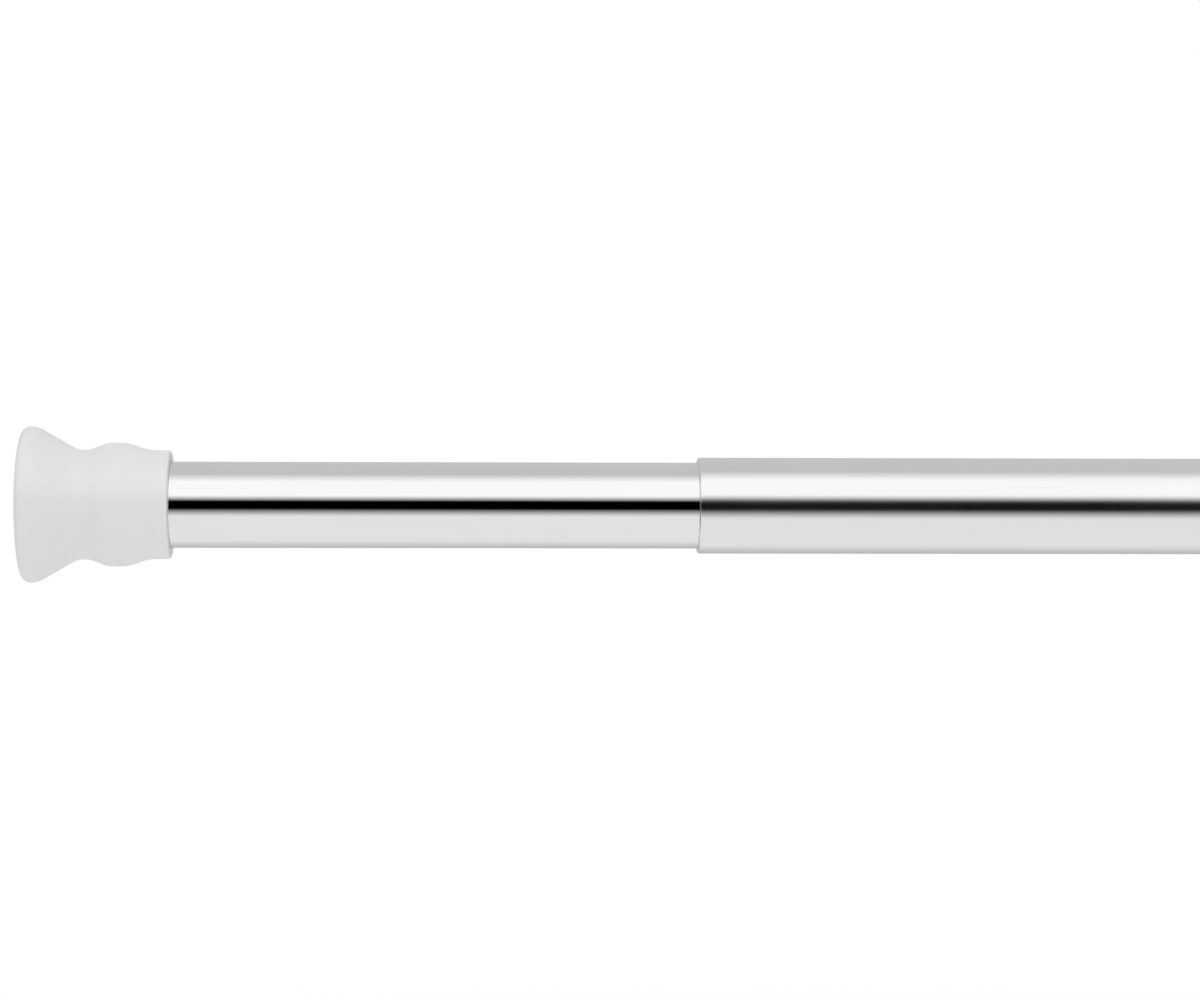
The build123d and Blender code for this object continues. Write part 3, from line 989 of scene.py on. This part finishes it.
class TENSION_ROD_OT_stage(Operator):
    """Sets up the light tent, front light, pale floor and camera"""

    bl_idname = "tension_rod.stage"
    bl_label = "Stage"

    def execute(self, context):
        scene, studio = context.scene, context.scene.rod_studio
        self.light(scene, studio)
        self.floor(studio)
        self.camera(scene, studio)
        scene.view_settings.view_transform = "Standard"
        return {"FINISHED"}

    def light(self, scene, studio):
        world = bpy.data.worlds.new("light tent")
        scene.world = world
        world.use_nodes = True
        tree = world.node_tree
        tree.nodes.clear()
        way = add(tree, "ShaderNodeTexCoord", output="Generated")
        x, y, z = add(tree, "ShaderNodeSeparateXYZ", {"Vector": way}).node.outputs
        front = add(tree, "ShaderNodeMath", {"Value": y, "Value_001": -1.0}, operation="MULTIPLY")
        turn = add(tree, "ShaderNodeMath", {"Value": z, "Value_001": front}, operation="ARCTAN2")
        share = add(tree, "ShaderNodeMapRange", {"Value": turn, "From Min": -pi, "From Max": pi})
        walls = [(angle, level) for *angles, level in TENT_WALLS for angle in angles]
        stops = [(angle / 360 + 0.5, level) for angle, level in walls]
        wall = add(tree, "ShaderNodeValToRGB", {"Fac": share}, stops=stops)
        height = add(tree, "ShaderNodeMapRange", {"Value": z, "From Min": -1.0, "From Max": 1.0})
        stops = [(place / 2 + 0.5, level) for place, level in TENT_END]
        end_wall = add(tree, "ShaderNodeValToRGB", {"Fac": height}, stops=stops)
        sideways = add(tree, "ShaderNodeMath", {"Value": x}, operation="ABSOLUTE")
        ends = add(
            tree,
            "ShaderNodeMapRange",
            {"Value": sideways, "From Min": TENT_END_START, "From Max": TENT_END_FULL},
            interpolation_type="SMOOTHSTEP",
        )
        tent = add(
            tree,
            "ShaderNodeMix",
            {"Factor_Float": ends, "A_Color": wall, "B_Color": end_wall},
            output=2,
            data_type="RGBA",
        )
        inside = add(tree, "ShaderNodeBackground", {"Color": tent, "Strength": studio.tent})
        backdrop = add(tree, "ShaderNodeBackground", {"Color": (1, 1, 1, 1), "Strength": 1.0})
        seen = add(tree, "ShaderNodeLightPath", output="Is Camera Ray")
        both = add(
            tree, "ShaderNodeMixShader", {"Fac": seen, "Shader": inside, "Shader_001": backdrop}
        )
        add(tree, "ShaderNodeOutputWorld", {"Surface": both})

        # A wide soft light in front and a little above. It lights the dull pieces and the floor,
        # and is left out of mirror reflections.
        light = bpy.data.lights.new("front light", "AREA")
        light.shape, light.size, light.energy = "DISK", FRONT_LIGHT_SIZE, studio.key_power
        lamp = bpy.data.objects.new("front light", light)
        target = Vector(((CAD_BOX[0].x + CAD_BOX[1].x) / 2, 0, 0))
        lamp.location = target + Vector(FRONT_LIGHT_PLACE)
        lamp.rotation_euler = (target - lamp.location).to_track_quat("-Z", "Y").to_euler()
        lamp.visible_glossy = lamp.visible_camera = False
        scene.collection.objects.link(lamp)

    def floor(self, studio):
        """A flat disc under the rod: rings of points at growing radius. Its material fades into the
        white backdrop towards its edge."""
        radius = np.linspace(0, FLOOR_RADIUS, FLOOR_RINGS)[:, None]
        turn = np.arange(FLOOR_COLUMNS) * 2 * pi / FLOOR_COLUMNS
        middle = (CAD_BOX[0].x + CAD_BOX[1].x) / 2 / MM
        points = np.stack(
            (
                middle + radius * np.cos(turn),
                -radius * np.sin(turn),
                np.full((FLOOR_RINGS, FLOOR_COLUMNS), -studio.floor_drop / MM),
            ),
            axis=-1,
        )
        floor, _ = surface("studio_floor", points)

        material, tree = empty_material("painted studio floor")
        place = add(tree, "ShaderNodeTexCoord", output="Object")
        centre = (-middle * MM, 0, studio.floor_drop)
        centred = add(tree, "ShaderNodeMapping", {"Vector": place, "Location": centre})
        far = add(
            tree, "ShaderNodeVectorMath", {"Vector": centred}, output="Value", operation="LENGTH"
        )
        fade = add(
            tree,
            "ShaderNodeMapRange",
            {"Value": far, "From Min": FLOOR_FADE_START, "From Max": FLOOR_FADE_END},
            interpolation_type="SMOOTHSTEP",
        )
        # Painted board: a faint roller texture, some 3 mm across.
        roller = clouds(tree, (3, 3, 3), 2, start=0, end=1)
        paint = add(
            tree,
            "ShaderNodeMix",
            {
                "Factor_Float": roller,
                "A_Color": shade(studio.floor, 0.99),
                "B_Color": shade(studio.floor, 1),
            },
            output=2,
            data_type="RGBA",
        )
        uneven = add(tree, "ShaderNodeBump", {"Height": roller, "Distance": 0.02 * MM})
        board = add(tree, "ShaderNodeBsdfDiffuse", {"Color": paint, "Normal": uneven})
        glow = add(tree, "ShaderNodeEmission", {"Color": (1, 1, 1, 1), "Strength": FLOOR_GLOW})
        lit = add(tree, "ShaderNodeAddShader", {"Shader": board, "Shader_001": glow})
        white = add(tree, "ShaderNodeEmission", {"Color": (1, 1, 1, 1), "Strength": 1.0})
        faded = add(
            tree, "ShaderNodeMixShader", {"Fac": fade, "Shader": lit, "Shader_001": white}
        )
        add(tree, "ShaderNodeOutputMaterial", {"Surface": faded})
        floor.data.materials.append(material)
        floor.visible_glossy = False

    def camera(self, scene, studio):
        camera = bpy.data.cameras.new("camera")
        camera.lens, camera.sensor_width = studio.lens, SENSOR_WIDTH
        camera.clip_start = NEAREST_SEEN
        seen_from = bpy.data.objects.new("camera", camera)
        seen_from.location = (studio.camera_along, -studio.camera_away, 0)
        aim = Vector((studio.aim_along, 0, studio.aim_up)) - seen_from.location
        level = aim.to_track_quat("-Z", "Y")
        seen_from.rotation_euler = (level @ Quaternion((0, 0, 1), studio.camera_roll)).to_euler()
        scene.collection.objects.link(seen_from)
        scene.camera = seen_from


# ---------------------------------------------------------------- add-on
STEPS = (
    TENSION_ROD_OT_feet,
    TENSION_ROD_OT_tubes,
    TENSION_ROD_OT_spring,
    TENSION_ROD_OT_spindle,
    TENSION_ROD_OT_plastics,
    TENSION_ROD_OT_metals,
    TENSION_ROD_OT_stage,
)


class TENSION_ROD_PT_panel(Panel):
    """Lists the steps that build the rod, and its settings"""

    bl_idname = "TENSION_ROD_PT_panel"
    bl_label = "Tension rod"
    bl_space_type = "VIEW_3D"
    bl_region_type = "UI"
    bl_category = "Tension rod"

    def draw(self, context):
        for step in STEPS:
            self.layout.operator(step.bl_idname)
        scene = context.scene
        for settings in (scene.rod_shape, scene.rod_finish, scene.rod_studio):
            column = self.layout.column(align=True)
            for name in settings.__annotations__:
                column.prop(settings, name)


CLASSES = (RodShape, RodFinish, RodStudio, *STEPS, TENSION_ROD_PT_panel)


def register():
    for each in CLASSES:
        bpy.utils.register_class(each)
    bpy.types.Scene.rod_shape = PointerProperty(type=RodShape)
    bpy.types.Scene.rod_finish = PointerProperty(type=RodFinish)
    bpy.types.Scene.rod_studio = PointerProperty(type=RodStudio)


def unregister():
    del bpy.types.Scene.rod_shape, bpy.types.Scene.rod_finish, bpy.types.Scene.rod_studio
    for each in reversed(CLASSES):
        bpy.utils.unregister_class(each)


def main():
    register()
    for step in STEPS:
        getattr(bpy.ops.tension_rod, step.bl_idname.split(".")[1])()


if __name__ == "__main__":
    main()
